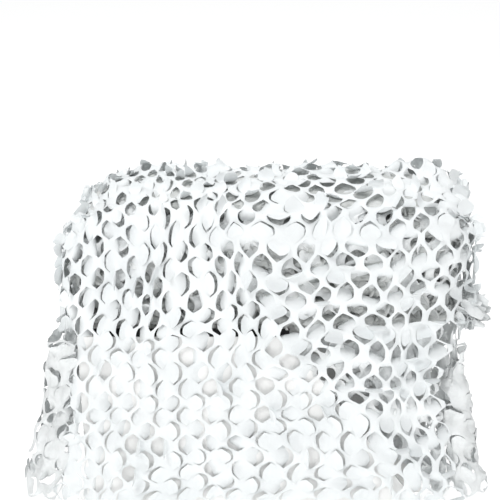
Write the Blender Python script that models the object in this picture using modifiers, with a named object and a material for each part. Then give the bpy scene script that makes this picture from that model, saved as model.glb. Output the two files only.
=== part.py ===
"""Snow camouflage net: a folded bale with its outer layer spread over it and hanging down on all four sides.

Metres, +Z up, +X along the bale, -Y is the front. The origin is the middle of the bale's underside.
The hanging sides reach down past the bale around whatever it is set on.
"""

import math

import bmesh
import bpy

# Bale of folded laps
BALE_LENGTH = 0.92
BALE_DEPTH = 0.32
LAP_COUNT = 8
LAP_THICKNESS = 0.0355
LAP_EDGE_RADIUS = 0.011
ROUNDED_EDGE_SEGMENTS = 3
LEFT_SHOULDER_RADIUS = 0.090
RIGHT_SHOULDER_RADIUS = 0.045
SHOULDER_STEPS = 6

# Outer layer over the bale
SHEET_THICKNESS = 0.006
CLEARANCE = 0.0003
HINGE_GAP_ABOVE = 0.005
HINGE_GAP_BELOW = 0.004

# Hanging sides
DROP_LENGTH = 0.450
FRONT_DROP_LEFT_INSET = 0.008
FRONT_DROP_RIGHT_INSET = 0.046
BACK_DROP_LEFT_INSET = 0.020
BACK_DROP_RIGHT_INSET = 0.046
END_DROP_WIDTH = 0.230
LEFT_LEAN = math.radians(9.0)
RIGHT_LEAN = math.radians(7.0)
# The right side is caught under the bale's end, so it hangs from a line a little below the underside
RIGHT_TUCK = 0.020
RIGHT_HINGE_DEPTH = 0.008

# Second layer caught behind the right half of the front drop
UNDER_LAYER_TOP_X = 0.040
UNDER_LAYER_SLANT = math.radians(34.0)
UNDER_LAYER_RIGHT_MARGIN = 0.010
UNDER_LAYER_HEM_MARGIN = 0.012

# Hanging folds at the four corners
CORNER_FOLD_TOP_RADIUS = 0.008
CORNER_FOLD_HEM_RADIUS = 0.030
CORNER_FOLD_TOP_DROP = 0.030
CORNER_FOLD_SIDES = 12

# Bunched netting at the right end
BUNCH_RADII = (0.018, 0.075, 0.036)
BUNCH_FRONT_MARGIN = 0.005
BUNCH_HEIGHT = 0.056
BUNCH_SEGMENTS = 20
BUNCH_RINGS = 12

BALE_HEIGHT = LAP_COUNT * LAP_THICKNESS + (LAP_COUNT - 1) * CLEARANCE
END_OF_BALE = BALE_LENGTH / 2
FACE_OF_BALE = BALE_DEPTH / 2
# Middle of the outer layer's thickness, outside the bale
SHEET_OFFSET = CLEARANCE + SHEET_THICKNESS / 2
SHEET_EDGE_RADIUS = SHEET_THICKNESS / 4

WHITE_NET = ("white_net", (0.86, 0.88, 0.89, 1.0), 0.55)
SHADED_NET = ("shaded_net", (0.66, 0.68, 0.68, 1.0), 0.65)


def clear_scene():
    for obj in list(bpy.data.objects):
        bpy.data.objects.remove(obj, do_unlink=True)


def make_material(name, colour, roughness):
    material = bpy.data.materials.new(name)
    material.use_nodes = True
    shader = material.node_tree.nodes["Principled BSDF"]
    shader.inputs["Base Color"].default_value = colour
    shader.inputs["Roughness"].default_value = roughness
    shader.inputs["Metallic"].default_value = 0.0
    return material


def finish_piece(obj, name, look, parent=None):
    """Names a piece, gives it a material of its own and puts it in the net's collection."""
    obj.name = name
    obj.data.name = name
    obj.data.materials.clear()
    obj.data.materials.append(make_material(f"{name}_{look[0]}", *look[1:]))
    for collection in list(obj.users_collection):
        collection.objects.unlink(obj)
    bpy.data.collections["camouflage_net"].objects.link(obj)
    if parent is not None:
        obj.parent = parent
    return obj


def shoulder_drop(distance, radius):
    """How far a rounded shoulder has fallen at this distance in from the bale's end."""
    if distance >= radius:
        return 0.0
    return radius - math.sqrt(max(0.0, radius**2 - (radius - distance) ** 2))


def shoulder_inset(height, radius):
    """How far in from the bale's end a rounded shoulder is at this height."""
    above = height - (BALE_HEIGHT - radius)
    if above <= 0.0:
        return 0.0
    return radius - math.sqrt(max(0.0, radius**2 - above**2))


def crown_height(x):
    """Height of the bale's top at this place along it."""
    left = shoulder_drop(END_OF_BALE + x, LEFT_SHOULDER_RADIUS)
    right = shoulder_drop(END_OF_BALE - x, RIGHT_SHOULDER_RADIUS)
    return BALE_HEIGHT - max(left, right)


def crown_stations():
    """Places along the bale at even angles round its two shoulders."""
    quarter = math.pi / 2
    angles = [quarter * step / SHOULDER_STEPS for step in range(SHOULDER_STEPS + 1)]
    left = [-END_OF_BALE + LEFT_SHOULDER_RADIUS * (1 - math.cos(a)) for a in angles]
    right = [END_OF_BALE - RIGHT_SHOULDER_RADIUS * (1 - math.cos(a)) for a in reversed(angles)]
    return left + right


def formed_sheet(name, columns, rows, place, look, parent=None):
    """A sheet of the net's thickness, centred on the surface that place(column, row) gives."""
    mesh = bpy.data.meshes.new(name)
    grid = bmesh.new()
    bmesh.ops.create_grid(grid, x_segments=columns, y_segments=rows, size=0.5)
    for vert in grid.verts:
        column = round((vert.co.x + 0.5) * columns)
        row = round((vert.co.y + 0.5) * rows)
        vert.co = place(column, row)
    bmesh.ops.recalc_face_normals(grid, faces=grid.faces)
    grid.to_mesh(mesh)
    grid.free()
    obj = bpy.data.objects.new(name, mesh)
    bpy.context.scene.collection.objects.link(obj)
    solidify = obj.modifiers.new("thickness", "SOLIDIFY")
    solidify.thickness = SHEET_THICKNESS
    solidify.offset = 0.0
    solidify.use_even_offset = True
    return finish_piece(obj, name, look, parent)


def rounded_slab(name, size, centre, radius, look, parent=None):
    bpy.ops.mesh.primitive_cube_add(size=1.0)
    obj = bpy.context.object
    for vert in obj.data.vertices:
        vert.co.x *= size[0]
        vert.co.y *= size[1]
        vert.co.z *= size[2]
    obj.location = centre
    bevel = obj.modifiers.new("rounded_edges", "BEVEL")
    bevel.width = radius
    bevel.segments = ROUNDED_EDGE_SEGMENTS
    bevel.limit_method = "NONE"
    obj.data.shade_smooth()
    return finish_piece(obj, name, look, parent)


def hinge_line(name, location):
    """An empty on the edge that a hanging side swings about."""
    empty = bpy.data.objects.new(name, None)
    empty.location = location
    bpy.data.collections["camouflage_net"].objects.link(empty)
    return empty


def build_laps():
    for index in range(LAP_COUNT):
        low = index * (LAP_THICKNESS + CLEARANCE)
        high = low + LAP_THICKNESS
        left = -END_OF_BALE + shoulder_inset(high, LEFT_SHOULDER_RADIUS)
        right = END_OF_BALE - shoulder_inset(high, RIGHT_SHOULDER_RADIUS)
        size = (right - left, BALE_DEPTH, LAP_THICKNESS)
        centre = ((left + right) / 2, 0.0, (low + high) / 2)
        rounded_slab(f"lap_{index + 1:02d}", size, centre, LAP_EDGE_RADIUS, SHADED_NET)


def build_top_sheet():
    """The layer over the top, arched down over both shoulders."""
    quarter = math.pi / 2
    steps = range(SHOULDER_STEPS + 1)
    left_radius = LEFT_SHOULDER_RADIUS + SHEET_OFFSET
    right_radius = RIGHT_SHOULDER_RADIUS + SHEET_OFFSET
    left_centre = (-END_OF_BALE + LEFT_SHOULDER_RADIUS, BALE_HEIGHT - LEFT_SHOULDER_RADIUS)
    right_centre = (END_OF_BALE - RIGHT_SHOULDER_RADIUS, BALE_HEIGHT - RIGHT_SHOULDER_RADIUS)
    path = []
    for step in steps:
        angle = quarter * step / SHOULDER_STEPS
        x = left_centre[0] - left_radius * math.cos(angle)
        path.append((x, left_centre[1] + left_radius * math.sin(angle)))
    for step in reversed(steps):
        angle = quarter * step / SHOULDER_STEPS
        x = right_centre[0] + right_radius * math.cos(angle)
        path.append((x, right_centre[1] + right_radius * math.sin(angle)))

    def place(column, row):
        x, z = path[column]
        return (x, (row - 0.5) * BALE_DEPTH, z)

    formed_sheet("top_sheet", len(path) - 1, 1, place, WHITE_NET)


def build_face_sheet(name, side):
    """The layer down the front (side -1) or the back (side 1) of the bale."""
    stations = crown_stations()

    def place(column, row):
        x = stations[column]
        z = crown_height(x) if row else HINGE_GAP_ABOVE
        return (x, side * (FACE_OF_BALE + SHEET_OFFSET), z)

    formed_sheet(name, len(stations) - 1, 1, place, WHITE_NET)


def build_end_sheet(name, side, shoulder_radius):
    """The layer down the left (side -1) or the right (side 1) end of the bale."""
    rim_tilt = math.pi / 4 / SHOULDER_STEPS
    rim_drop = SHEET_THICKNESS / 2 * math.sin(rim_tilt)
    top = BALE_HEIGHT - shoulder_radius - rim_drop - CLEARANCE

    def place(column, row):
        z = top if row else HINGE_GAP_ABOVE
        return (side * (END_OF_BALE + SHEET_OFFSET), (column - 0.5) * BALE_DEPTH, z)

    formed_sheet(name, 1, 1, place, WHITE_NET)


def build_face_drop(name, side, left, right):
    """A side that hangs straight down from the front's or the back's lower edge."""
    hinge = hinge_line(f"{name}_hinge", (0.0, side * (FACE_OF_BALE + SHEET_OFFSET), 0.0))
    size = (right - left, SHEET_THICKNESS, DROP_LENGTH - HINGE_GAP_BELOW)
    centre = ((left + right) / 2, 0.0, -(DROP_LENGTH + HINGE_GAP_BELOW) / 2)
    rounded_slab(name, size, centre, SHEET_EDGE_RADIUS, WHITE_NET, hinge)
    return hinge


def build_under_layer(hinge, right):
    """A second layer behind the right half of the front drop, with a slanting free edge."""
    layer_offset = SHEET_THICKNESS + CLEARANCE
    hem = -DROP_LENGTH + UNDER_LAYER_HEM_MARGIN

    def place(column, row):
        z = -HINGE_GAP_BELOW if row else hem
        slanting = UNDER_LAYER_TOP_X - z * math.tan(UNDER_LAYER_SLANT)
        return (right - UNDER_LAYER_RIGHT_MARGIN if column else slanting, layer_offset, z)

    formed_sheet("front_under_layer", 1, 1, place, SHADED_NET, hinge)


def build_end_drop(name, side, hinge_x, hinge_depth, lean):
    """A side that hangs from the bale's end and leans out over the corner folds beside it."""
    hinge = hinge_line(f"{name}_hinge", (hinge_x, 0.0, -hinge_depth))
    slope_length = (DROP_LENGTH - hinge_depth) / math.cos(lean)
    size = (SHEET_THICKNESS, END_DROP_WIDTH, slope_length - HINGE_GAP_BELOW)
    middle = (slope_length + HINGE_GAP_BELOW) / 2
    centre = (side * middle * math.sin(lean), 0.0, -middle * math.cos(lean))
    slab = rounded_slab(name, size, centre, SHEET_EDGE_RADIUS, WHITE_NET, hinge)
    slab.rotation_euler.y = -side * lean
    fold_length = slope_length - CORNER_FOLD_TOP_DROP - CORNER_FOLD_HEM_RADIUS * math.sin(lean)
    fold_middle = CORNER_FOLD_TOP_DROP + fold_length / 2
    for word, along in (("front", -1), ("back", 1)):
        bpy.ops.mesh.primitive_cone_add(
            vertices=CORNER_FOLD_SIDES,
            radius1=CORNER_FOLD_HEM_RADIUS,
            radius2=CORNER_FOLD_TOP_RADIUS,
            depth=fold_length,
        )
        fold = bpy.context.object
        out = END_DROP_WIDTH / 2 + CLEARANCE + CORNER_FOLD_HEM_RADIUS
        x = side * fold_middle * math.sin(lean)
        fold.location = (x, along * out, -fold_middle * math.cos(lean))
        fold.rotation_euler.y = -side * lean
        fold.data.shade_smooth()
        finish_piece(fold, f"{name.split('_')[0]}_{word}_corner_fold", SHADED_NET, hinge)


def build_bunch():
    """Loose netting gathered at the foot of the right end, towards the front."""
    bpy.ops.mesh.primitive_uv_sphere_add(segments=BUNCH_SEGMENTS, ring_count=BUNCH_RINGS, radius=1.0)
    obj = bpy.context.object
    for vert in obj.data.vertices:
        vert.co.x *= BUNCH_RADII[0]
        vert.co.y *= BUNCH_RADII[1]
        vert.co.z *= BUNCH_RADII[2]
    x = END_OF_BALE + SHEET_OFFSET + SHEET_THICKNESS / 2 + CLEARANCE + BUNCH_RADII[0]
    y = -FACE_OF_BALE + BUNCH_FRONT_MARGIN + BUNCH_RADII[1]
    obj.location = (x, y, BUNCH_HEIGHT)
    obj.data.shade_smooth()
    finish_piece(obj, "right_end_bunch", SHADED_NET)


def main():
    clear_scene()
    collection = bpy.data.collections.new("camouflage_net")
    bpy.context.scene.collection.children.link(collection)

    build_laps()
    build_top_sheet()
    build_face_sheet("front_sheet", -1)
    build_face_sheet("back_sheet", 1)
    build_end_sheet("left_end_sheet", -1, LEFT_SHOULDER_RADIUS)
    build_end_sheet("right_end_sheet", 1, RIGHT_SHOULDER_RADIUS)
    build_bunch()

    front_left = -END_OF_BALE + FRONT_DROP_LEFT_INSET
    front_right = END_OF_BALE - FRONT_DROP_RIGHT_INSET
    front_hinge = build_face_drop("front_drop", -1, front_left, front_right)
    build_under_layer(front_hinge, front_right)
    back_left = -END_OF_BALE + BACK_DROP_LEFT_INSET
    back_right = END_OF_BALE - BACK_DROP_RIGHT_INSET
    build_face_drop("back_drop", 1, back_left, back_right)
    build_end_drop("left_drop", -1, -END_OF_BALE - SHEET_OFFSET, 0.0, LEFT_LEAN)
    build_end_drop("right_drop", 1, END_OF_BALE - RIGHT_TUCK, RIGHT_HINGE_DEPTH, RIGHT_LEAN)


main()
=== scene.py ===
"""Looks of the snow camouflage net: die-cut netting over a folded bale, hanging down past it on four sides.

The netting is made flat, leaf by leaf, and then laid over the bale. A flat point is (u, v, n): u across the
net, v along it and n out of its surface, in metres.
"""

import math

import bpy
import numpy as np
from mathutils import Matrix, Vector, noise


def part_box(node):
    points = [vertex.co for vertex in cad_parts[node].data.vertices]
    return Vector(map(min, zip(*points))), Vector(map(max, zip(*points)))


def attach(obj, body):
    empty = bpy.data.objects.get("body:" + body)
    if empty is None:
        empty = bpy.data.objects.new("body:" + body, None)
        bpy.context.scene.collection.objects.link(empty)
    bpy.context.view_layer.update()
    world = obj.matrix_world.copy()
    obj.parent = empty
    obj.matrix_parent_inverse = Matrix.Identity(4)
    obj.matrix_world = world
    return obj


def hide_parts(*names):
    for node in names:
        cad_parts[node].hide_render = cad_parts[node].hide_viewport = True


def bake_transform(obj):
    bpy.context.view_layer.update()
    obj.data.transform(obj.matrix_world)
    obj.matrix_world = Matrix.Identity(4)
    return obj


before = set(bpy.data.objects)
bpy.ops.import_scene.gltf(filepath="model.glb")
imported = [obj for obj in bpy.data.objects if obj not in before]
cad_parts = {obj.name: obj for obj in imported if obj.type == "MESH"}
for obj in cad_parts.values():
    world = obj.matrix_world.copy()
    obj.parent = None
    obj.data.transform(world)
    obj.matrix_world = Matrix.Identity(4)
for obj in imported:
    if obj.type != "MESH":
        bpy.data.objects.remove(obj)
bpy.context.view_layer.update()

# Places that come from the CAD model's parts
SHEET = 0.006  # thickness of the CAD model's sheets
LAPS = sorted(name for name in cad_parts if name.startswith("lap_"))
FACE_Y = (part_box("front_sheet")[0][1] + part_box("front_sheet")[1][1]) / 2
BACK_Y = (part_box("back_sheet")[0][1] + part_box("back_sheet")[1][1]) / 2
LEFT_X = (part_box("left_end_sheet")[0][0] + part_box("left_end_sheet")[1][0]) / 2
RIGHT_X = (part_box("right_end_sheet")[0][0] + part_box("right_end_sheet")[1][0]) / 2
TOP_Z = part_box("top_sheet")[1][2] - SHEET / 2
HEM_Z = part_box("front_drop")[0][2]
DROP_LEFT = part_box("front_drop")[0][0]
DROP_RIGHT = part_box("front_drop")[1][0]

# Die-cut pattern: one cell holds two leaves
CELL_WIDTH = 0.060
CELL_LENGTH = 0.0765
NECK_MARGIN = 0.0034  # least half width of the web between two holes
SHARED_POINTS_PER_METRE = 20000  # web points that round to the same step of this grid are one point
WEB_RING = 0.65  # place of the web's middle ring, from the hexagon's rim (0) to the hole (1)
LEAF_RINGS = (0.985, 0.66, 0.33)  # sizes of a leaf's rings beside its hole
LEAST_JOINED = 3  # rim points that hold a leaf, at least
BEND_STEPS = 8  # straight pieces in a leaf's bend

# Uneven waves that give loose netting its ripples and its drift: their number, their lengths, and the amount
# asked for as a multiple of one wave's height
RIPPLE_WAVES, RIPPLE_LENGTHS, RIPPLE_REACH = 7, (0.10, 0.34), 2.6
DRIFT_WAVES, DRIFT_LENGTHS, DRIFT_REACH = 10, (0.13, 0.42), 2.2
# How uneven the outer layer is, and how far the web of the other layers stands proud
COVER_PUCKER, COVER_RIPPLE, COVER_DRIFT = 0.0024, 0.0035, 0.0092
LOOSE_PUCKER = 0.003

# How the outer layer turns over the bale's edges
FRONT_SHOULDER = 0.085
BACK_SHOULDER = 0.024
TOP_RISE = math.radians(2.6)
LEFT_TOP_RADIUS = 0.165
RIGHT_TOP_RADIUS = 0.080
LEFT_CORNER_RADIUS = 0.060
RIGHT_CORNER_RADIUS = 0.095
# Slope of the rows of leaves towards the right end, and how soon the rows are level towards a hem
ROW_TILT = 0.06
ROW_LEVELLING = 0.25
# Extra unevenness of the top
TOP_ROUGHNESS = 0.006
# How far the top's back edge rises and falls along the bale, in two waves that beat with each other
BACK_EDGE_WAVE = 0.009
BACK_EDGE_LENGTHS = (0.017, 0.041)
# How far the top's back left corner sinks and is drawn in
BACK_LEFT_SAG = 0.024
BACK_LEFT_DRAW = 0.036
# How far the hanging front and back spread sideways for each metre down, at the drop's two edges
LEFT_FLARE = 0.17
RIGHT_FLARE = 0.22
# How far the right edge of the hanging front is drawn in below the bale
RIGHT_PINCH = 0.030


def smooth_step(start, end, value):
    """0 at start and before it, 1 at end and past it, and an even curve between. end may be the lower."""
    t = np.clip((value - start) / (end - start), 0.0, 1.0)
    return t * t * (3.0 - 2.0 * t)


def random_angle(rng, low, high):
    """A random angle in radians, between two angles in degrees."""
    return math.radians(rng.uniform(low, high))


# ---------------------------------------------------------------- flat netting


def hexagon_rim():
    """Points round one leaf's share of the net, a hexagon that tiles it. Neighbours share these points."""
    a, b = CELL_WIDTH, CELL_LENGTH
    side, tip = (b * b - a * a) / (4 * b), (a * a + b * b) / (4 * b)
    corners = [(a / 2, -side), (a / 2, side), (0, tip), (-a / 2, side), (-a / 2, -side), (0, -tip)]
    counts = [2, 4, 4, 2, 4, 4]
    points = []
    for index, count in enumerate(counts):
        start, end = np.array(corners[index]), np.array(corners[(index + 1) % 6])
        points += [start + (end - start) * step / count for step in range(count)]
    return np.array(points)


HEXAGON = hexagon_rim()
HEXAGON_ROOM = math.hypot(CELL_WIDTH, CELL_LENGTH) / 4


def hexagon_share(points):
    """How far out of its hexagon's middle each point is, 1 on the hexagon's rim."""
    x, y = np.abs(points[:, 0]), np.abs(points[:, 1])
    slanted = (x * CELL_WIDTH + y * CELL_LENGTH) / math.hypot(CELL_WIDTH, CELL_LENGTH)
    return np.maximum(x / (CELL_WIDTH / 2), slanted / HEXAGON_ROOM)


def bent_leaf(distance, lift, roll, length):
    """How far along and out the points of a leaf come. Its first third bends up by lift, and roll is added
    evenly over all of its length."""
    along, out = np.zeros_like(distance), np.zeros_like(distance)
    for step in range(BEND_STEPS):
        low, high = length * step / BEND_STEPS, length * (step + 1) / BEND_STEPS
        part = np.clip(distance - low, 0.0, high - low)
        share = (step + 0.5) / BEND_STEPS
        angle = lift * min(1.0, 0.35 + 2.0 * share) + roll * share
        along += part * math.cos(angle)
        out += part * math.sin(angle)
    return along, out


def flat_net(centres, style, rng):
    """Flat netting with one leaf at each centre, and the centre that each face belongs to."""
    points, faces, owners, lookup = [], [], [], {}

    def add(point):
        points.append(point)
        return len(points) - 1

    def add_shared(point):
        key = (round(point[0] * SHARED_POINTS_PER_METRE), round(point[1] * SHARED_POINTS_PER_METRE))
        if key not in lookup:
            lookup[key] = add(point)
        return lookup[key]

    direction = HEXAGON / np.linalg.norm(HEXAGON, axis=1)[:, None]
    count = len(HEXAGON)
    for index, (u, v, kind) in enumerate(centres):
        look = style(u, v, kind, rng)
        centre = np.array((u, v))
        hole = direction * np.array((look["wide"], look["tall"]))
        hole[:, 1] += look["shoulders"] * direction[:, 0] ** 2
        hole /= np.maximum(1.0, hexagon_share(hole) / (1.0 - NECK_MARGIN / HEXAGON_ROOM))[:, None]
        outer = [add_shared((p[0], p[1], 0.0)) for p in centre + HEXAGON]
        web = HEXAGON * (1.0 - WEB_RING) + hole * WEB_RING
        middle = [add((p[0], p[1], 0.0)) for p in centre + web]
        rim = [add((p[0], p[1], 0.0)) for p in centre + hole]
        for k in range(count):
            m = (k + 1) % count
            faces.append((outer[k], outer[m], middle[m], middle[k]))
            faces.append((middle[k], middle[m], rim[m], rim[k]))
        owners += [index] * (2 * count)
        if look["missing"]:
            continue
        # the leaf, still joined to the net round the part of its rim nearest its root
        root = np.array((math.cos(look["root"]), math.sin(look["root"])))
        across = np.array((-root[1], root[0]))
        facing = (hole / np.linalg.norm(hole, axis=1)[:, None]) @ root
        joined = facing > min(math.cos(look["hold"]), np.sort(facing)[-LEAST_JOINED] - 1e-6)
        depth = hole @ root
        chord = depth[joined].min()
        length = chord - depth.min()
        rings = []
        for share in LEAF_RINGS:
            flat = hole * share
            free = np.maximum(chord - flat @ root, 0.0)
            distance = free * look["fill"]
            flat = flat + root * (free - distance)[:, None]
            along, out = bent_leaf(distance, look["lift"], look["roll"], length)
            off = flat @ across
            bowed = (look["twist"] * off + look["cup"] * off**2) * distance / length
            moved = centre + flat + root * (distance - along)[:, None]
            height = look["side"] * out + bowed
            outermost = not rings
            rings.append([
                rim[k] if outermost and joined[k] else add((moved[k][0], moved[k][1], height[k]))
                for k in range(count)
            ])
        distance = np.array([max(chord, 0.0) * look["fill"]])
        along, out = bent_leaf(distance, look["lift"], look["roll"], length)
        middle_point = centre + root * (max(chord, 0.0) - along)[0]
        hub = add((middle_point[0], middle_point[1], look["side"] * out[0]))
        for k in range(count):
            m = (k + 1) % count
            faces.append((rings[0][k], rings[0][m], rings[1][m], rings[1][k]))
            faces.append((rings[1][k], rings[1][m], rings[2][m], rings[2][k]))
            faces.append((rings[2][k], rings[2][m], hub))
        owners += [index] * (3 * count)
    return np.array(points), faces, np.array(owners)


def leaf_centres(u_low, u_high, v_low, v_high, keep=None, shift=(0.0, 0.0)):
    """The leaves of a stretch of net: kind 0 and, half a cell across and down from it, kind 1."""
    centres = []
    rows = range(math.floor(v_low / CELL_LENGTH) - 1, math.ceil(v_high / CELL_LENGTH) + 2)
    columns = range(math.floor(u_low / CELL_WIDTH) - 1, math.ceil(u_high / CELL_WIDTH) + 2)
    for row in rows:
        for column in columns:
            for kind in (0, 1):
                u = (column + 0.5 * kind) * CELL_WIDTH + shift[0]
                v = (row - 0.5 * kind) * CELL_LENGTH + shift[1]
                inside = u_low <= u <= u_high and v_low <= v <= v_high
                if inside and (keep is None or keep(u, v)):
                    centres.append((u, v, kind))
    return centres


def pucker(points, amount, shift=(0.0, 0.0)):
    """The web between the leaves stands a little proud, as cut cloth does when it is pulled open."""
    across = np.cos(2 * math.pi * (points[:, 0] - shift[0]) / CELL_WIDTH)
    along = np.cos(2 * math.pi * (points[:, 1] - shift[1]) / CELL_LENGTH)
    points[:, 2] -= amount * across * along
    return points


def ripple(points, amount, seed):
    """Slow uneven waves over the whole net."""
    rng = np.random.default_rng(seed)
    for _ in range(RIPPLE_WAVES):
        direction, length = rng.uniform(0, math.pi), rng.uniform(*RIPPLE_LENGTHS)
        phase = rng.uniform(0, 2 * math.pi)
        along = points[:, 0] * math.cos(direction) + points[:, 1] * math.sin(direction)
        points[:, 2] += amount / RIPPLE_REACH * np.sin(2 * math.pi * along / length + phase)
    return points


def drift(points, amount, seed):
    """Pulls the cells a little out of line, as loose netting lies."""
    rng = np.random.default_rng(seed)
    start = points[:, :2].copy()
    for _ in range(DRIFT_WAVES):
        direction, length = rng.uniform(0, math.pi), rng.uniform(*DRIFT_LENGTHS)
        push, phase = rng.uniform(0, 2 * math.pi), rng.uniform(0, 2 * math.pi)
        along = start[:, 0] * math.cos(direction) + start[:, 1] * math.sin(direction)
        wave = amount / DRIFT_REACH * np.sin(2 * math.pi * along / length + phase)
        points[:, 0] += math.cos(push) * wave
        points[:, 1] += math.sin(push) * wave
    return points


def mesh_piece(name, points, faces, flat=None):
    """A smooth mesh piece. flat keeps each point's place on the flat cloth, for its weave."""
    used = np.unique(np.concatenate([np.array(f) for f in faces]))
    index = np.full(len(points), -1)
    index[used] = np.arange(len(used))
    mesh = bpy.data.meshes.new(name)
    faces = [tuple(int(index[i]) for i in face) for face in faces]
    mesh.from_pydata([tuple(map(float, p)) for p in points[used]], [], faces)
    mesh.update()
    mesh.shade_smooth()
    if flat is not None:
        layer = mesh.uv_layers.new(name="cloth")
        corners = np.zeros(len(mesh.loops), np.int32)
        mesh.loops.foreach_get("vertex_index", corners)
        layer.data.foreach_set("uv", flat[used][corners][:, :2].astype(np.float32).ravel())
    obj = bpy.data.objects.new(name, mesh)
    bpy.context.scene.collection.objects.link(obj)
    return obj


# ---------------------------------------------------------------- laying the net over the bale


class Path:
    """A path in a plane, read by its length, with the angle of its outward side from the first axis."""

    STEP = 0.002

    def __init__(self, start, pieces):
        """Each piece is its length and its angles in degrees at its beginning and its end."""
        lengths, points, angles = [0.0], [np.array(start, float)], [math.radians(pieces[0][1])]
        for length, first, last in pieces:
            steps = max(1, round(length / self.STEP))
            for k in range(steps):
                middle = math.radians(first + (last - first) * (k + 0.5) / steps)
                points.append(points[-1] + np.array((math.sin(middle), -math.cos(middle))) * length / steps)
                lengths.append(lengths[-1] + length / steps)
                angles.append(math.radians(first + (last - first) * (k + 1) / steps))
        self.lengths, self.points, self.angles = np.array(lengths), np.array(points), np.array(angles)
        self.length = lengths[-1]

    def at(self, distance):
        """Place and outward direction at a distance along the path, which goes straight on past its ends."""
        angle = np.interp(distance, self.lengths, self.angles)
        over = distance - np.clip(distance, 0.0, self.length)
        first = np.interp(distance, self.lengths, self.points[:, 0]) + np.sin(angle) * over
        second = np.interp(distance, self.lengths, self.points[:, 1]) - np.cos(angle) * over
        return first, second, np.cos(angle), np.sin(angle)


RISE_DEGREES = math.degrees(TOP_RISE)
FACE_RISE = TOP_Z - FRONT_SHOULDER - 0.004
FRONT_ARC = FRONT_SHOULDER * (math.pi / 2 - TOP_RISE)
BACK_ARC = BACK_SHOULDER * (math.pi / 2 + TOP_RISE)
FRONT_TURN_DEPTH = FRONT_SHOULDER * (1 - math.sin(TOP_RISE))
BACK_TURN_DEPTH = BACK_SHOULDER * (1 + math.sin(TOP_RISE))
TOP_FLAT = (BACK_Y - FACE_Y - FRONT_TURN_DEPTH - BACK_TURN_DEPTH) / math.cos(TOP_RISE)
SHOULDER_RISE = (FRONT_SHOULDER - BACK_SHOULDER) * math.cos(TOP_RISE)
BACK_FALL = FACE_RISE + SHOULDER_RISE + TOP_FLAT * math.sin(TOP_RISE)
COVER_PATH = Path((FACE_Y, HEM_Z), [
    (FACE_RISE - HEM_Z, 180, 180),
    (FRONT_ARC, 180, 90 + RISE_DEGREES),
    (TOP_FLAT, 90 + RISE_DEGREES, 90 + RISE_DEGREES),
    (BACK_ARC, 90 + RISE_DEGREES, 0),
    (BACK_FALL - HEM_Z, 0, 0),
])
HEM_OVERHANG = 0.029  # how far the lowest leaves reach past the path's two ends
V_EDGE = -HEM_Z  # where the cover passes the bale's lower front edge
V_SHOULDER = V_EDGE + FACE_RISE
V_TOP = V_SHOULDER + FRONT_ARC
V_TOP_BACK = V_TOP + TOP_FLAT
V_BACK = V_TOP_BACK + BACK_ARC
V_BACK_EDGE = V_BACK + BACK_FALL

# The left part of the net is pulled in across its width, so its cells are narrower there. They change to
# the wide ones over a stretch about NARROW_CENTRE, and close up a little again at the right end.
NARROW = 0.79
WIDE = 0.99
NARROW_CENTRE = -0.055
NARROW_STRETCH = 0.12
RIGHT_END_CLOSING = 0.14
# How far its left part is drawn outwards for each metre down the front
LEFT_PULL = 0.17

# Lengths over which the cover goes from the shape of its front and back to the shape of its top, and over
# which the turns along the top's long edges begin and end
TOP_EASE = 0.02
TURN_EASE = 0.03
BACK_TURN_EASE = 0.01
# In those turns, a margin past a corner goes no deeper than this and a small share of the rest
TURN_DEPTH = 0.03
TURN_DEPTH_LOST = 0.8
# How gently the hanging front and back begin to spread
FALL_EASE = 0.03
# From where to where the sinking of the back left corner grows: along the bale, across it and up it
SAG_ALONG = (-0.30, LEFT_X)
SAG_ACROSS = (FACE_Y + 0.12, BACK_Y - 0.02)
SAG_UP = (TOP_Z - 0.17, TOP_Z - 0.03)


def stretch_table():
    """Places across the flat net, and where they come along the bale."""
    u = np.linspace(-0.9, 0.9, 901)
    rate = NARROW + (WIDE - NARROW) * smooth_step(-NARROW_STRETCH, NARROW_STRETCH, u - NARROW_CENTRE)
    rate -= RIGHT_END_CLOSING * smooth_step(0.22, 0.34, u)
    x = np.concatenate([[0.0], np.cumsum((rate[1:] + rate[:-1]) / 2 * np.diff(u))])
    return u, x - np.interp(NARROW_CENTRE, u, x) + NARROW_CENTRE


STRETCH_U, STRETCH_X = stretch_table()


def width_to_x(u):
    """From a place across the flat net to where it comes along the bale, at the shoulder."""
    return np.interp(u, STRETCH_U, STRETCH_X)


def x_to_width(x):
    """From a place along the bale, at the shoulder, to the place across the flat net that comes there."""
    return float(np.interp(x, STRETCH_X, STRETCH_U))


def place_across(u, v):
    """Where a flat point comes along the bale, before the net turns round its ends."""
    x = width_to_x(u)
    down = np.clip(V_SHOULDER - v, 0.0, V_SHOULDER - V_EDGE)
    return x - LEFT_PULL * smooth_step(-0.02, -0.26, x) * down


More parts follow.
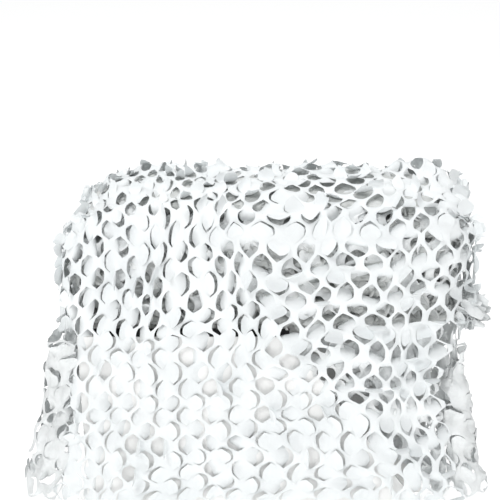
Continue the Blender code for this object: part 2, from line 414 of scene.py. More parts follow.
def lay_cover(points, sink=0.0):
    """Lays flat netting over the bale from front to back, turned round the corners at both ends."""
    v = points[:, 1]
    x = place_across(points[:, 0], v)
    y, z, ny, nz = COVER_PATH.at(v)
    on_top = smooth_step(V_SHOULDER - TOP_EASE, V_TOP + TOP_EASE, v)
    on_top *= smooth_step(V_BACK + TOP_EASE, V_TOP_BACK - TOP_EASE, v)
    in_front_turn = smooth_step(V_SHOULDER - TURN_EASE, V_SHOULDER + TURN_EASE, v)
    in_front_turn *= smooth_step(V_TOP + TURN_EASE, V_TOP - TURN_EASE, v)
    in_back_turn = smooth_step(V_TOP_BACK - TURN_EASE, V_TOP_BACK + BACK_TURN_EASE, v)
    in_back_turn *= smooth_step(V_BACK + TURN_EASE, V_BACK - BACK_TURN_EASE, v)
    in_turn = np.maximum(in_front_turn, in_back_turn)
    turn, depth, place = np.zeros_like(x), np.zeros_like(x), x.copy()
    for side, limit, corner_radius, top_radius in (
        (-1, LEFT_X, LEFT_CORNER_RADIUS, LEFT_TOP_RADIUS),
        (1, RIGHT_X, RIGHT_CORNER_RADIUS, RIGHT_TOP_RADIUS),
    ):
        radius = corner_radius + (top_radius - corner_radius) * on_top
        start = abs(limit) - radius
        beyond = side * x - start
        angle = np.clip(beyond / radius, 0.0, math.pi / 2)
        extra = np.maximum(beyond - radius * math.pi / 2, 0.0)
        there = beyond > 0
        place = np.where(there, side * (start + radius * np.sin(angle)), place)
        depth = np.where(there, radius * (1 - np.cos(angle)) + extra, depth)
        turn = np.where(there, side * angle, turn)
    shallow = TURN_DEPTH + (depth - TURN_DEPTH) * (1 - TURN_DEPTH_LOST * in_turn)
    depth = np.where(in_turn > 0, np.minimum(depth, shallow), depth)
    fallen = np.maximum(V_EDGE - v, v - V_BACK_EDGE).clip(0.0, None)
    fallen = fallen * fallen / (fallen + FALL_EASE)
    spread = np.where(x < 0, LEFT_FLARE * x / abs(DROP_LEFT), RIGHT_FLARE * x / DROP_RIGHT)
    drawn_in = RIGHT_PINCH * smooth_step(0.20, DROP_RIGHT, x) * smooth_step(0.0, 0.10, fallen)
    place = place + spread * fallen - drawn_in
    n = points[:, 2] - sink
    cos_turn, sin_turn = np.cos(turn), np.sin(turn)
    laid_x = place + n * sin_turn
    laid_y = y - depth * ny + n * cos_turn * ny
    laid_z = z - depth * nz + n * cos_turn * nz
    sunk = smooth_step(*SAG_ALONG, laid_x) * smooth_step(*SAG_ACROSS, laid_y) * smooth_step(*SAG_UP, laid_z)
    return np.stack([laid_x + BACK_LEFT_DRAW * sunk, laid_y, laid_z - BACK_LEFT_SAG * sunk], axis=1)


# ---------------------------------------------------------------- how the leaves open

# A style gives each leaf: half its hole's width and height, how far the hole's shoulders are raised, the
# share of its cloth that is left (fill), the direction of its root and how much of its rim is joined (hold),
# its lift and roll, its twist and cup, the side of the net it stands on (1 is out), and if it is missing.

# The line across the front that parts leaves that open sideways, on its left, from leaves that open
# downwards: where it leaves the top, how far it goes right for each metre down, and how soft it is
LINE_TOP = -0.150
LINE_SLANT = 0.67
LINE_SOFTNESS = 0.055

# Half widths and half heights of the cover's leaves before each region changes them
LEAF_WIDE = 0.0160
LEAF_TALL = 0.0295


def lean_right(x, v):
    """0 left of the slanting line across the front and 1 right of it."""
    z = min(max(v - V_EDGE, HEM_Z), TOP_Z)
    line = LINE_TOP + (TOP_Z - z) * LINE_SLANT
    return float(smooth_step(-LINE_SOFTNESS, LINE_SOFTNESS, x - line))


def cover_style(u, v, kind, rng):
    """The outer layer, and the right end's: what a leaf does follows from the region of the net it is in."""
    x = float(place_across(u, v))
    right = lean_right(x, v)
    hanging = float(smooth_step(V_EDGE + 0.02, V_EDGE - 0.02, v))
    on_top = float(smooth_step(V_SHOULDER, V_TOP, v) * smooth_step(V_BACK, V_TOP_BACK, v))
    closing = float(smooth_step(0.22, 0.36, x))
    back_edge = abs(v - V_TOP_BACK - 0.01) < 0.035
    past_end = x < LEFT_X + 0.035 or x > RIGHT_X - 0.035
    left = 1 - right
    wide = LEAF_WIDE + 0.0035 * hanging * left + (0.0058 - 0.0013 * hanging) * right - 0.0012 * closing
    tall = LEAF_TALL - 0.0025 * hanging * left - (0.0036 - 0.0014 * hanging) * right + 0.0020 * closing
    wide *= 1 - 0.10 * on_top
    root = (0.0 if kind == 0 else math.pi) - math.pi / 2 * right
    lift, roll = random_angle(rng, 8, 30), random_angle(rng, 5, 40)
    fill = rng.uniform(0.72, 0.92)
    outward = 0.5
    if right > 0.5:
        outward, fill = 0.22 + 0.26 * hanging, rng.uniform(0.8, 1.0)
        if kind == 1:
            lift, roll = random_angle(rng, 22, 62), random_angle(rng, 15, 60)
        else:
            lift, roll = random_angle(rng, 28, 85), random_angle(rng, 20, 80)
    elif kind == 1 and hanging < 0.5 and rng.random() < 0.34:
        # a leaf that stands open, which shows its hole
        lift, roll = random_angle(rng, 80, 140), random_angle(rng, 10, 40)
    elif rng.random() < 0.12:
        lift, roll = random_angle(rng, 60, 120), random_angle(rng, 0, 40)
    elif hanging > 0.5:
        lift, roll, fill = 0.75 * lift, 0.75 * roll, min(1.0, 1.08 * fill)
    if on_top > 0.2:
        lift, roll = random_angle(rng, 6, 55), random_angle(rng, -40, 90)
        root += random_angle(rng, -70, 70) * on_top
        outward = 0.55
    if past_end and hanging < 0.5:
        lift, roll, outward = random_angle(rng, 25, 75), random_angle(rng, -20, 70), 0.7
    if back_edge:
        root, fill = rng.uniform(0, 2 * math.pi), rng.uniform(0.35, 0.7)
        lift, roll, outward = random_angle(rng, 5, 50), random_angle(rng, 0, 100), 0.7
    side = 1.0 if rng.random() < outward else -1.0
    if side < 0:
        lift, roll = min(lift, math.radians(75)), min(roll, math.radians(60))
    elif right > 0.5 and on_top < 0.2:
        lift = max(lift, math.radians(50))
    return {
        "wide": wide * rng.uniform(0.94, 1.05),
        "tall": tall * rng.uniform(0.95, 1.03),
        "shoulders": (0.0045 if kind == 1 else -0.0040) * right + rng.normal(0, 0.0008),
        "fill": fill,
        "root": root + math.radians(rng.normal(0, 8 + 8 * right)),
        "hold": random_angle(rng, 36, 50),
        "lift": lift,
        "roll": roll,
        "twist": rng.normal(0, 0.16 + 0.22 * on_top),
        "cup": rng.normal(0, 11.0 + 9.0 * on_top),
        "side": side,
        "missing": rng.random() < 0.03,
    }


def loose_style(u, v, kind, rng):
    """Inner layers: leaves turned every way."""
    return {
        "wide": rng.uniform(0.017, 0.0225),
        "tall": rng.uniform(0.021, 0.026),
        "shoulders": rng.uniform(-0.003, 0.003),
        "fill": rng.uniform(0.8, 1.0),
        "root": rng.uniform(0, 2 * math.pi),
        "hold": random_angle(rng, 34, 50),
        "lift": random_angle(rng, 15, 70),
        "roll": random_angle(rng, 0, 60),
        "twist": rng.normal(0, 0.25),
        "cup": rng.normal(0, 16.0),
        "side": 1.0 if rng.random() < 0.5 else -1.0,
        "missing": rng.random() < 0.08,
    }


def fold_style(u, v, kind, rng):
    """Gathered folds: leaves turned every way that lie nearly flat, so the fold looks closed."""
    look = loose_style(u, v, kind, rng)
    look["lift"] *= 0.35
    look["roll"] *= 0.6
    look["missing"] = False
    return look


# ---------------------------------------------------------------- materials


def set_inputs(node, values):
    """Sets inputs of a shader node by their names."""
    for name, value in values.items():
        node.inputs[name].default_value = value


def cloth_material(name, colour, shade, scale=1.0, creased=0.4):
    """Thin coated cloth: a fine square weave, faint creases and small changes of tone between colour and
    shade. On the greyer copies of the cloth below, the grey and its strong blotches are painted shade of the
    layers that lie deep in the net.
    """
    material = bpy.data.materials.new(name)
    material.use_nodes = True
    nodes, links = material.node_tree.nodes, material.node_tree.links
    shader = nodes["Principled BSDF"]
    set_inputs(shader, {"Sheen Weight": 0.15, "Sheen Roughness": 0.4, "Specular IOR Level": 0.35})
    place = nodes.new("ShaderNodeTexCoord")
    tone = nodes.new("ShaderNodeTexNoise")
    set_inputs(tone, {"Scale": 9.0 * scale, "Detail": 5.0})
    links.new(place.outputs["Object"], tone.inputs["Vector"])
    ramp = nodes.new("ShaderNodeValToRGB")
    dark_end, light_end = ramp.color_ramp.elements
    dark_end.position, dark_end.color = 0.3, (*shade, 1.0)
    light_end.position, light_end.color = 0.62, (*colour, 1.0)
    links.new(tone.outputs["Fac"], ramp.inputs["Fac"])
    links.new(ramp.outputs["Color"], shader.inputs["Base Color"])
    gloss = nodes.new("ShaderNodeMapRange")
    set_inputs(gloss, {"To Min": 0.48, "To Max": 0.72})
    links.new(tone.outputs["Fac"], gloss.inputs["Value"])
    links.new(gloss.outputs["Result"], shader.inputs["Roughness"])
    weave = nodes.new("ShaderNodeTexBrick")
    weave.offset = 0.0
    square = 0.005  # side of the weave's squares
    set_inputs(weave, {"Scale": 1.0, "Brick Width": square, "Row Height": square})
    set_inputs(weave, {"Mortar Size": 0.00035, "Mortar Smooth": 0.6, "Mortar": (1.0, 1.0, 1.0, 1.0)})
    set_inputs(weave, {"Color1": (0.5, 0.5, 0.5, 1.0), "Color2": (0.5, 0.5, 0.5, 1.0)})
    links.new(place.outputs["UV"], weave.inputs["Vector"])
    crease = nodes.new("ShaderNodeTexNoise")
    set_inputs(crease, {"Scale": 85.0 * scale, "Detail": 4.0})
    links.new(place.outputs["Object"], crease.inputs["Vector"])
    fine = nodes.new("ShaderNodeBump")
    set_inputs(fine, {"Strength": 0.25, "Distance": 0.0004})
    links.new(weave.outputs["Color"], fine.inputs["Height"])
    bump = nodes.new("ShaderNodeBump")
    set_inputs(bump, {"Strength": creased, "Distance": 0.0015})
    links.new(crease.outputs["Fac"], bump.inputs["Height"])
    links.new(fine.outputs["Normal"], bump.inputs["Normal"])
    links.new(bump.outputs["Normal"], shader.inputs["Normal"])
    return material


# One white cloth for all the netting. The outer layer gets it as it is. The inner layers, the corner folds,
# the bunch and the laps get copies painted greyer the deeper they lie, as painted shade, with strong blotches
# of painted shade from their folds.
WHITE = cloth_material("white_net_cloth", (0.90, 0.925, 0.930), (0.84, 0.87, 0.878))
INNER_SHADED = cloth_material("inner_net_painted_shade", (0.86, 0.88, 0.883), (0.66, 0.68, 0.68), 3.2, 0.8)
SOFT_FOLD_SHADED = cloth_material("corner_fold_cloth", (0.87, 0.89, 0.893), (0.74, 0.76, 0.76), 2.6, 0.8)
FOLD_SHADED = cloth_material("gathered_net_painted_shade", (0.79, 0.805, 0.80), (0.58, 0.595, 0.585), 3.0, 0.8)
DEEP_SHADED = cloth_material("deep_lap_painted_shade", (0.71, 0.725, 0.715), (0.47, 0.485, 0.475), 3.0, 0.8)


def finish_net(obj, material):
    """Gives a piece its material."""
    obj.data.materials.append(material)


# ---------------------------------------------------------------- the pieces


def build_cover():
    """The outer layer: down the front, over the top and down the back, in two pieces that share a row."""
    rng = np.random.default_rng(11)
    past_ends = 0.072
    left, right = x_to_width(LEFT_X - past_ends), x_to_width(RIGHT_X + past_ends)
    length = COVER_PATH.length
    hem_slack = 0.002  # takes in the rows that are right on the hems

    def keep(u, v):
        """Below the bale the net is only as wide as the front and back that hang."""
        hangs = v < V_EDGE - 0.02 or v > V_BACK_EDGE + 0.02
        return not hangs or DROP_LEFT + 0.010 < place_across(u, v) < DROP_RIGHT - 0.004

    centres = leaf_centres(left, right, -hem_slack, length + hem_slack, keep)
    flat, faces, owners = flat_net(centres, cover_style, rng)
    cloth = flat.copy()
    drift(ripple(pucker(flat, COVER_PUCKER), COVER_RIPPLE, 5), COVER_DRIFT, 6)
    # the rows slant towards the right end, but the two hems stay level
    off_hems = smooth_step(0.0, ROW_LEVELLING, flat[:, 1])
    off_hems *= smooth_step(length, length - ROW_LEVELLING, flat[:, 1])
    flat[:, 1] += ROW_TILT * np.maximum(flat[:, 0], 0.0) * off_hems
    flat[:, 1] = np.clip(flat[:, 1], -HEM_OVERHANG, length + HEM_OVERHANG)
    # the top is rougher than the sides, and its back edge wavers
    u, v = flat[:, 0], flat[:, 1]
    on_top = smooth_step(V_SHOULDER, V_TOP, v) * smooth_step(V_BACK, V_TOP_BACK, v)
    rough = ripple(flat * (1.0, 1.0, 0.0), TOP_ROUGHNESS, 7)[:, 2]
    near_back = smooth_step(V_TOP_BACK - 0.06, V_TOP_BACK, v) * smooth_step(V_BACK + 0.05, V_BACK, v)
    short, long = BACK_EDGE_LENGTHS
    wavy = BACK_EDGE_WAVE * np.sin(u / short) * np.sin(u / long + 1.0) * near_back
    lowest, highest = -0.022, 0.026
    flat[:, 2] = np.clip(flat[:, 2] + rough * on_top + wavy, lowest, highest)
    laid = lay_cover(flat)
    in_front = np.array([centres[owner][1] < V_TOP_BACK for owner in owners])
    front_faces = [face for face, is_front in zip(faces, in_front) if is_front]
    back_faces = [face for face, is_front in zip(faces, in_front) if not is_front]
    front = mesh_piece("cover_front", laid, front_faces, cloth)
    back = mesh_piece("cover_back", laid, back_faces, cloth)
    finish_net(front, WHITE)
    finish_net(back, WHITE)
    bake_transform(front)
    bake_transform(back)
    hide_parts("top_sheet", "front_sheet", "front_drop")
    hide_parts("back_sheet", "back_drop")


def build_inner_net(name, sink, shift, seed, material):
    """A layer of the bale inside the outer one."""
    rng = np.random.default_rng(seed)
    past_ends, off_hems = 0.04, 0.026
    left, right = x_to_width(LEFT_X - past_ends), x_to_width(RIGHT_X + past_ends)
    centres = leaf_centres(left, right, V_EDGE + off_hems, V_BACK_EDGE - off_hems, shift=shift)
    flat, faces, _ = flat_net(centres, loose_style, rng)
    cloth = flat.copy()
    drift(ripple(pucker(flat, LOOSE_PUCKER, shift), 0.006, seed + 1), 0.006, seed + 2)
    lowest, highest = -0.016, 0.014
    flat[:, 2] = np.clip(flat[:, 2], lowest, highest)
    obj = mesh_piece(name, lay_cover(flat, sink=sink), faces, cloth)
    finish_net(obj, material)
    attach(obj, "bale")


# How far a folded lap stays inside its CAD box, along it, in front, behind, and above and below
LAP_INSET = 0.026
LAP_FRONT_INSET = 0.020
LAP_BACK_INSET = 0.022
LAP_GAP = 0.0012
LAP_SPANS = 110  # steps along a lap
LAP_RING = 64  # points round a lap
LAP_WAVE = 0.012  # depth of the waves and of the creases in a lap's sides, and of those in its faces
LAP_CREASE = 0.007
LAP_SAG = 0.0028
LAP_LEAF_MARGIN = 0.05  # length at each end of a lap without loose leaves
LAP_LEAF_ROOT = 0.008  # how far inside the lap's side a loose leaf begins


def eased_end(along, start):
    """1 along the middle of a lap, falling in a quarter circle from start to 0 at its very end."""
    past = max(0.0, abs(along) - start) / (1 - start)
    return math.sqrt(max(0.0, 1 - past**2))


def lap_slab(centre, half, seed):
    """Points and faces of a lap's soft slab, a rounded box with wavy, creased sides."""
    points, faces = [], []
    for i in range(LAP_SPANS + 1):
        along = -1 + 2 * i / LAP_SPANS
        pinch, taper = eased_end(along, 0.985), eased_end(along, 0.80)
        x = along * half[0]
        for k in range(LAP_RING):
            a = 2 * math.pi * k / LAP_RING
            c, s = math.cos(a), math.sin(a)
            y = math.copysign(abs(c) ** 0.32, c) * half[1] * (0.45 + 0.55 * taper)
            z = math.copysign(abs(s) ** 0.6, s) * half[2] * max(0.15, pinch)
            wave = noise.noise(Vector((x * 14, y * 9, seed * 3.1))) * LAP_WAVE
            crease = noise.noise(Vector((x * 38, z * 20 + seed, y * 12))) * LAP_CREASE
            y += math.copysign(wave + crease, c) * abs(c)
            z += noise.noise(Vector((x * 16, y * 16, seed * 1.7))) * LAP_SAG
            points.append((centre[0] + x, centre[1] + y, centre[2] + z))
    for i in range(LAP_SPANS):
        here, after = i * LAP_RING, (i + 1) * LAP_RING
        for k in range(LAP_RING):
            m = (k + 1) % LAP_RING
            faces.append((here + k, here + m, after + m, after + k))
    faces.append(tuple(range(LAP_RING - 1, -1, -1)))
    faces.append(tuple(LAP_SPANS * LAP_RING + k for k in range(LAP_RING)))
    return points, faces


def crumpled_lap(name, seed):
    """One folded thickness of netting: a soft slab with creased sides and loose leaves along them."""
    low, high = (np.array(c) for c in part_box(name))
    rng = np.random.default_rng(seed)
    # a lap beside the rounded shoulder draws back under it
    above = max(0.0, high[2] - (TOP_Z - FRONT_SHOULDER))
    fall = FRONT_SHOULDER - math.sqrt(max(0.0, FRONT_SHOULDER**2 - above**2))
    low = low + np.array((LAP_INSET + 0.25 * fall, LAP_FRONT_INSET + 0.9 * fall, LAP_GAP))
    high = high - np.array((LAP_INSET, LAP_BACK_INSET + 0.1 * fall, LAP_GAP + 0.06 * fall))
    centre, half = (low + high) / 2, (high - low) / 2
    points, faces = lap_slab(centre, half, seed)
    # loose leaves standing out of the folded sides, twice as close together in front
    for side, step in ((-1, 0.011), (1, 0.022)):
        x = low[0] + LAP_LEAF_MARGIN
        while x < high[0] - LAP_LEAF_MARGIN:
            size = rng.uniform(0.009, 0.014)
            root_y = centre[1] + side * (half[1] - LAP_LEAF_ROOT)
            root = (x, root_y, centre[2] + rng.uniform(-0.012, 0.010))
            direction = (rng.uniform(-0.8, 0.8), side * 0.6, rng.uniform(-0.9, 0.3))
            add_leaf(points, faces, small_leaf(root, direction, size, rng))
            x += step * rng.uniform(0.5, 1.5)
    obj = mesh_piece(f"{name}_folds", np.array(points), faces)
    finish_net(obj, DEEP_SHADED)
    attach(obj, "bale")
    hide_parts(name)


def add_leaf(points, faces, leaf):
    """Adds a small leaf's points and faces to a piece that is being made."""
    leaf_points, leaf_faces = leaf
    base = len(points)
    points += leaf_points
    faces += [tuple(base + i for i in face) for face in leaf_faces]


def small_leaf(root, direction, size, rng, stretch=1.9):
    """A curled leaf of cut cloth, as wide as its size each side of its middle and stretch times that long."""
    out = Vector(direction).normalized()
    side = out.cross(Vector((rng.normal(), rng.normal(), rng.normal()))).normalized()
    up = side.cross(out)
    bend = rng.uniform(-1.6, 1.6)
    cup = rng.uniform(-0.5, 0.5)
    points, faces = [], []
    rows, columns = 6, 5
    straight = abs(bend) <= 0.05
    for i in range(rows):
        t = i / (rows - 1)
        width = size * (0.35 + 0.65 * math.sin(math.pi * (0.12 + 0.80 * t)))
        angle = bend * t
        along = size * stretch * (t if straight else math.sin(angle) / bend)
        rise = size * stretch * (0.0 if straight else (1 - math.cos(angle)) / bend)
        for k in range(columns):
            w = -1 + 2 * k / (columns - 1)
            lifted = rise + cup * size * w * w
            p = Vector(root) + out * along + side * (w * width) + up * lifted
            points.append(tuple(p))
    for i in range(rows - 1):
        for k in range(columns - 1):
            a = i * columns + k
            faces.append((a, a + 1, a + columns + 1, a + columns))
    return points, faces


END_HALF_WIDTH = 0.140  # of a bale end's layer
DROP_HALF_WIDTH = 0.105  # of the side that hangs from it
END_INSIDE = 0.006  # how far the end's layer stays inside the bale's end
END_TURN = 0.012  # length over which the side bends into the end
END_STEP = 0.03  # height over which the layer comes out to the end
END_FOLD_DEPTH, END_FOLD_LENGTH = 0.012, 0.12  # of the upright folds that the hanging side falls in


def build_end(side):
    """The layer down one end of the bale and the side that hangs from it, under the cover's margins."""
    word = "left" if side < 0 else "right"
    rng = np.random.default_rng(31 if side < 0 else 37)
    limit = abs(LEFT_X) if side < 0 else RIGHT_X
    top_radius = LEFT_TOP_RADIUS if side < 0 else RIGHT_TOP_RADIUS
    low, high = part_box(f"{word}_drop")
    lean = math.degrees(math.atan2(high[0] - low[0] - SHEET, high[2] - low[2]))
    hem_x = max(abs(low[0]), abs(high[0])) - SHEET / 2
    edge = -HEM_Z / math.cos(math.radians(lean))
    face_x = hem_x - math.sin(math.radians(lean)) * edge
    inset = max(0.0, limit - END_INSIDE - face_x)
    turn_out = math.degrees(math.atan2(inset, END_STEP))
    curl = 1.2  # radians of the turn over the end's top edge
    path = Path((-hem_x, HEM_Z), [
        (edge - END_TURN, 180 - lean, 180 - lean),
        (END_TURN, 180 - lean, 180 + turn_out),
        (math.hypot(inset, END_STEP), 180 + turn_out, 180 + turn_out),
        (0.01, 180 + turn_out, 180),
        (TOP_Z - top_radius - 0.05, 180, 180),
        (top_radius * curl, 180, 180 - math.degrees(curl)),
    ])

    def keep(u, v):
        return abs(u) < (DROP_HALF_WIDTH if v < edge - 0.02 else END_HALF_WIDTH)

    centres = leaf_centres(-END_HALF_WIDTH, END_HALF_WIDTH, 0.03, path.length - 0.01, keep)
    flat, faces, _ = flat_net(centres, cover_style if side > 0 else loose_style, rng)
    cloth = flat.copy()
    ripple(pucker(flat, LOOSE_PUCKER), 0.005, 41 + side)
    hang = smooth_step(edge, 0.0, flat[:, 1])
    flat[:, 2] += END_FOLD_DEPTH * hang * np.sin(2 * math.pi * flat[:, 0] / END_FOLD_LENGTH)
    lowest, highest = -0.02, 0.022
    flat[:, 2] = np.clip(flat[:, 2], lowest, highest)
    x, z, nx, nz = path.at(flat[:, 1])
    laid = np.stack([-side * (x + flat[:, 2] * nx), flat[:, 0], z + flat[:, 2] * nz], axis=1)
    obj = mesh_piece(f"{word}_end_net", laid, faces, cloth)
    finish_net(obj, WHITE)
    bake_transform(obj)
    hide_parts(f"{word}_end_sheet", f"{word}_drop")


# Corner folds at each end: how far the top stands above the CAD fold's, the radii at the top and the hem, and
# how late on its way down a fold widens and swings out
CORNER_FOLDS = {
    "left": {"above": 0.016, "top_radius": 0.026, "hem_radius": 0.050, "widening": 0.7, "swinging": 1.15},
    "right": {"above": 0.002, "top_radius": 0.015, "hem_radius": 0.046, "widening": 1.2, "swinging": 2.2},
}
FOLD_WRAP = 0.92  # share of the way round a fold that its netting reaches
FOLD_SHIFT = (0.01, 0.0)
FOLD_OVERHANG = 0.014  # how far the netting reaches below the CAD fold's hem
# Distance of a fold's middle from the bale's long centre line at its top, and how much less it is at its hem
FOLD_Y, FOLD_GATHER = 0.138, 0.028
PLEAT_DEPTH = 0.0065


def build_corner_fold(node):
    """A hanging fold of spare netting at a corner: netting rolled into a tall cone that flares to its hem."""
    word = node.split("_")[0]
    fold = CORNER_FOLDS[word]
    side = -1 if word == "left" else 1
    along = -1 if "front" in node else 1
    rng = np.random.default_rng(51 + 2 * side + along)
    low, high = (np.array(c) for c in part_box(node))
    top, hem = high[2] + fold["above"], low[2] - FOLD_OVERHANG
    hem_x = side * (max(abs(low[0]), abs(high[0])) - 0.022)
    top_x = side * (min(abs(low[0]), abs(high[0])) + 0.004)
    height = top - hem
    top_radius, hem_radius = fold["top_radius"], fold["hem_radius"]

    def fallen_at(v):
        return np.clip(1 - v / height, 0.0, 1.2)

    def radius_at(v):
        return top_radius + (hem_radius - top_radius) * fallen_at(v) ** fold["widening"]

    def keep(u, v):
        return abs(u) < radius_at(v) * math.pi * FOLD_WRAP

    centres = leaf_centres(-0.16, 0.16, 0.012, height - 0.01, keep, FOLD_SHIFT)
    flat, faces, _ = flat_net(centres, fold_style, rng)
    cloth = flat.copy()
    drift(ripple(pucker(flat, LOOSE_PUCKER, FOLD_SHIFT), 0.008, 61 + side + along), 0.006, 65 + side + along)
    lowest, highest = -0.014, 0.012
    flat[:, 2] = np.clip(flat[:, 2], lowest, highest)
    v = flat[:, 1]
    radius, fallen = radius_at(v), fallen_at(v)
    angle = flat[:, 0] / radius + (math.pi if side < 0 else 0.0)
    centre_x = top_x + (hem_x - top_x) * fallen ** fold["swinging"]
    centre_y = along * (FOLD_Y - FOLD_GATHER * fallen)
    phase = 6 * angle + 9 * fallen + 2.0 * np.sin(3 * angle + side)
    pleat = PLEAT_DEPTH * (0.35 + 0.65 * fallen) * np.sin(phase)
    reach = radius + flat[:, 2] + pleat
    laid = np.stack([centre_x + reach * np.cos(angle), centre_y + reach * np.sin(angle), hem + v], axis=1)
    obj = mesh_piece(f"{node}_net", laid, faces, cloth)
    finish_net(obj, SOFT_FOLD_SHADED)
    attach(obj, f"{word}_side")
    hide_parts(node)


# The slanting free edge behind the front: where it meets the bale's lower edge, and how far it goes right for
# each metre down
UNDER_START = 0.045
UNDER_SLOPE = math.tan(math.radians(34.0))
UNDER_STEP = 0.03  # how much further right the inner layer's edge is


def build_under_layers():
    """The layers caught behind the right half of the front, with a slanting free edge."""
    for index, (name, depth, shift) in enumerate((
        ("front_under_net", 0.013, (0.017, 0.03)),
        ("front_under_net_inner", 0.028, (0.041, 0.011)),
    )):
        rng = np.random.default_rng(71 + index)

        def keep(u, v):
            return float(width_to_x(u)) > UNDER_START + index * UNDER_STEP - (v - V_EDGE) * UNDER_SLOPE

        left, right = x_to_width(0.0), x_to_width(DROP_RIGHT - 0.01)
        centres = leaf_centres(left, right, 0.002, V_EDGE - 0.012, keep, shift)
        flat, faces, _ = flat_net(centres, loose_style, rng)
        cloth = flat.copy()
        ripple(pucker(flat, LOOSE_PUCKER, shift), 0.005, 81 + index)
        flat[:, 1] = np.clip(flat[:, 1], -HEM_OVERHANG, None)
        lowest, highest = -0.012, 0.010
        flat[:, 2] = np.clip(flat[:, 2], lowest, highest)
        obj = mesh_piece(name, lay_cover(flat, sink=depth), faces, cloth)
        finish_net(obj, INNER_SHADED)
        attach(obj, "front_side")
        if index == 0:
            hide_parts("front_under_layer")


# The bunch at the right end: how many strips it is made of, and the share of it that is cloth, the rest being
# air between its folds
BUNCH_STRIPS = 230
# Height that its foot stays above, and how softly it is bent up there
BUNCH_FOOT = 0.001
BUNCH_SPREAD = 0.007


def build_bunch():
    """Netting gathered at the foot of the right end: long creased strips fanning out of one place."""
    low, high = (np.array(c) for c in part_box("right_end_bunch"))
    rng = np.random.default_rng(91)
    centre = (low + high) / 2
    points, faces = [], []
    for _ in range(BUNCH_STRIPS):
        offset = (rng.uniform(-0.056, -0.018), rng.uniform(-0.066, 0.03), rng.uniform(-0.046, 0.012))
        direction = (rng.uniform(0.4, 1.0), rng.uniform(-0.45, 0.25), rng.uniform(-0.95, -0.05))
        size, stretch = rng.uniform(0.008, 0.014), rng.uniform(2.8, 4.8)
        add_leaf(points, faces, small_leaf(centre + np.array(offset), direction, size, rng, stretch))
    points = np.array(points)
    # its foot spreads out above the side that swings up under it
    above = (points[:, 2] - BUNCH_FOOT) / BUNCH_SPREAD
    points[:, 2] = BUNCH_FOOT + BUNCH_SPREAD * np.log1p(np.exp(above))
    obj = mesh_piece("right_end_bunch_leaves", points, faces)
    finish_net(obj, SOFT_FOLD_SHADED)
    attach(obj, "bale")
    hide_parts("right_end_bunch")


# ---------------------------------------------------------------- stage, light and camera


def plain_material(name, colour, glow=0.0):
    """A dull material for the stage."""
    material = bpy.data.materials.new(name)
    material.use_nodes = True
    shader = material.node_tree.nodes["Principled BSDF"]
    set_inputs(shader, {"Base Color": (*colour, 1.0), "Roughness": 0.9, "Specular IOR Level": 0.1})
    set_inputs(shader, {"Emission Color": (1.0, 1.0, 1.0, 1.0), "Emission Strength": glow})
    return material


def stage_box(name, low, high, material):
    low, high = Vector(low), Vector(high)
    bpy.ops.mesh.primitive_cube_add(size=1.0, location=(low + high) / 2)
    obj = bpy.context.object
    obj.name = name
    obj.scale = high - low
    obj.data.materials.append(material)


FLOOR_Z = HEM_Z - 0.036
STAND_LEFT, STAND_RIGHT = -0.435, 0.385
PANEL_TOP = -0.017


def build_stage():
    """The floor, a white stand inside the hanging sides under the bale, and a dark strip of painted shadow
    under the bale's front edge.
    """
    white = plain_material("stage_white", (0.93, 0.93, 0.92))
    floor_white = plain_material("floor_white", (0.95, 0.95, 0.945), glow=0.56)
    gap_shadow = plain_material("stage_shadow_gap", (0.02, 0.02, 0.02))
    bpy.ops.mesh.primitive_plane_add(size=40.0, location=(0, 0, FLOOR_Z))
    floor = bpy.context.object
    floor.name = "floor"
    floor.data.materials.append(floor_white)
    stage_box("stand", (STAND_LEFT, -0.095, FLOOR_Z), (STAND_RIGHT, 0.140, -0.001), white)
    # a white panel close behind the left part of the front, up to the slanting edge
    outline = [(STAND_LEFT, PANEL_TOP), (UNDER_START, PANEL_TOP)]
    outline += [(UNDER_START - FLOOR_Z * UNDER_SLOPE, FLOOR_Z), (STAND_LEFT, FLOOR_Z)]
    front, back = FACE_Y + 0.010, FACE_Y + 0.018
    points = [(x, front, z) for x, z in outline] + [(x, back, z) for x, z in outline]
    faces = [(0, 3, 2, 1), (4, 5, 6, 7)]
    faces += [(k, (k + 1) % 4, (k + 1) % 4 + 4, k + 4) for k in range(4)]
    mesh = bpy.data.meshes.new("stand_panel")
    mesh.from_pydata(points, [], faces)
    panel = bpy.data.objects.new("stand_panel", mesh)
    bpy.context.scene.collection.objects.link(panel)
    mesh.materials.append(white)
    # a near-black strip of painted shadow in the gap between the panel and the bale, where the bale's
    # underside throws its shade
    stage_box("gap_shadow_strip", (-0.40, FACE_Y + 0.012, -0.020), (0.05, FACE_Y + 0.016, 0.002), gap_shadow)


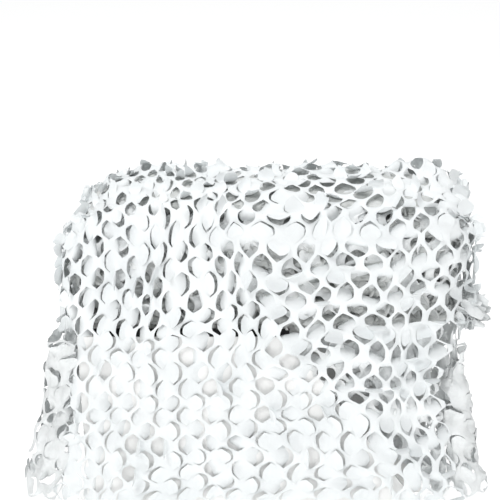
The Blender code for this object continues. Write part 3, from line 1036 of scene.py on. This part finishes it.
def area_light(name, place, target, size, power):
    data = bpy.data.lights.new(name, "AREA")
    data.shape = "SQUARE"
    data.size = size
    data.energy = power
    obj = bpy.data.objects.new(name, data)
    obj.location = place
    direction = Vector(target) - Vector(place)
    obj.rotation_euler = direction.to_track_quat("-Z", "Y").to_euler()
    bpy.context.scene.collection.objects.link(obj)


def build_light():
    world = bpy.data.worlds.new("studio")
    world.use_nodes = True
    nodes, links = world.node_tree.nodes, world.node_tree.links
    background = nodes["Background"]
    background.inputs["Color"].default_value = (0.985, 0.995, 1.0, 1.0)
    seen = nodes.new("ShaderNodeLightPath")
    strength = nodes.new("ShaderNodeMapRange")
    strength.inputs["To Min"].default_value = 0.42  # as a light
    strength.inputs["To Max"].default_value = 1.1  # as the camera sees it
    links.new(seen.outputs["Is Camera Ray"], strength.inputs["Value"])
    links.new(strength.outputs["Result"], background.inputs["Strength"])
    bpy.context.scene.world = world
    area_light("key", (-1.3, -2.2, 2.6), (0, 0, 0.1), 0.8, 41.5)
    area_light("fill", (1.8, -2.4, 1.4), (0, 0, 0.0), 2.2, 9.5)
    area_light("overhead", (0.1, 0.5, 2.8), (0, 0.1, 0.2), 2.0, 34.0)
    view = bpy.context.scene.view_settings
    view.view_transform = "Standard"
    view.look = "None"
    view.exposure = 0.0
    view.gamma = 1.0


def build_camera():
    elevation = math.radians(24.0)
    distance = 2.6
    seen_width = 1.10  # at the target
    target = Vector((-0.040, FACE_Y, 0.205))
    data = bpy.data.cameras.new("camera")
    data.sensor_width = 36.0
    data.lens = data.sensor_width * distance / seen_width
    camera = bpy.data.objects.new("camera", data)
    camera.location = target + Vector((0, -math.cos(elevation), math.sin(elevation))) * distance
    camera.rotation_euler = (math.pi / 2 - elevation, 0, 0)
    bpy.context.scene.collection.objects.link(camera)
    bpy.context.scene.camera = camera


build_camera()
build_stage()
build_light()
build_cover()
build_inner_net("inner_net", 0.019, (0.021, 0.013), 23, INNER_SHADED)
build_inner_net("inner_net_deep", 0.027, (0.047, 0.035), 27, FOLD_SHADED)
for number, lap in enumerate(LAPS):
    crumpled_lap(lap, number + 1)
build_end(-1)
build_end(1)
for fold in ("left_front", "left_back", "right_front", "right_back"):
    build_corner_fold(f"{fold}_corner_fold")
build_under_layers()
build_bunch()
